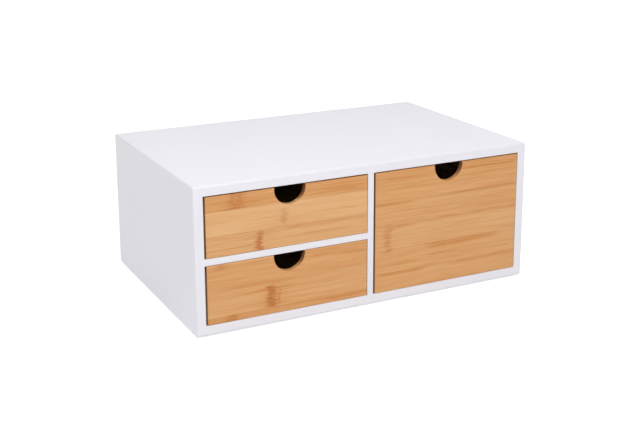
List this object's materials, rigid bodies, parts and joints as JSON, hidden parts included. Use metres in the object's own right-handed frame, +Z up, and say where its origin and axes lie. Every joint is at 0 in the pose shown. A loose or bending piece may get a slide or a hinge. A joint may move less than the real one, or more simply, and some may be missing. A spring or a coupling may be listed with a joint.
{
  "type": "desktop drawer unit",
  "caption": "Low desktop case with push-in drawers of different heights, flush wooden fronts and round finger notches.",
  "frame": {"origin": "under the middle of the case, on the surface that the foot pads stand on", "axes": "+X to the right as seen from the front, along the width; +Y to the back, so the drawers pull out along -Y; +Z up"},
  "size_m": [0.335, 0.215, 0.1332],
  "materials": {
    "white_lacquer": "satin white lacquer on fibreboard",
    "white_hardboard": "thin fibreboard, painted white outside",
    "bamboo": "natural light bamboo, glued strips under a clear satin varnish",
    "drawer_wood": "plain sanded light wood",
    "drawer_bottom": "thin plywood",
    "beech_dowel": "plain beech",
    "felt_pad": "pressed light grey felt",
    "steel_wire": "bright drawn wire"
  },
  "bodies": {
    "cabinet": {"top_panel": "white_lacquer", "bottom_panel": "white_lacquer", "left_side_panel": "white_lacquer", "right_side_panel": "white_lacquer", "centre_divider": "white_lacquer", "middle_shelf": "white_lacquer", "back_panel": "white_hardboard", "foot_pad_front_left": "felt_pad", "foot_pad_front_right": "felt_pad", "foot_pad_back_left": "felt_pad", "foot_pad_back_right": "felt_pad", "corner_dowels": "beech_dowel", "back_panel_staples": "steel_wire"},
    "upper_drawer": {"upper_drawer_front": "bamboo", "upper_drawer_left_side": "drawer_wood", "upper_drawer_right_side": "drawer_wood", "upper_drawer_back": "drawer_wood", "upper_drawer_bottom": "drawer_bottom", "upper_drawer_brads": "steel_wire"},
    "lower_drawer": {"lower_drawer_front": "bamboo", "lower_drawer_left_side": "drawer_wood", "lower_drawer_right_side": "drawer_wood", "lower_drawer_back": "drawer_wood", "lower_drawer_bottom": "drawer_bottom", "lower_drawer_brads": "steel_wire"},
    "large_drawer": {"large_drawer_front": "bamboo", "large_drawer_left_side": "drawer_wood", "large_drawer_right_side": "drawer_wood", "large_drawer_back": "drawer_wood", "large_drawer_bottom": "drawer_bottom", "large_drawer_brads": "steel_wire"}
  },
  "joints": [
    {"name": "upper_drawer_slide", "type": "slide", "parent": "cabinet", "child": "upper_drawer", "axis": [0, -1, 0], "range_m": [0, 0.181]},
    {"name": "lower_drawer_slide", "type": "slide", "parent": "cabinet", "child": "lower_drawer", "axis": [0, -1, 0], "range_m": [0, 0.181]},
    {"name": "large_drawer_slide", "type": "slide", "parent": "cabinet", "child": "large_drawer", "axis": [0, -1, 0], "range_m": [0, 0.181]}
  ]
}
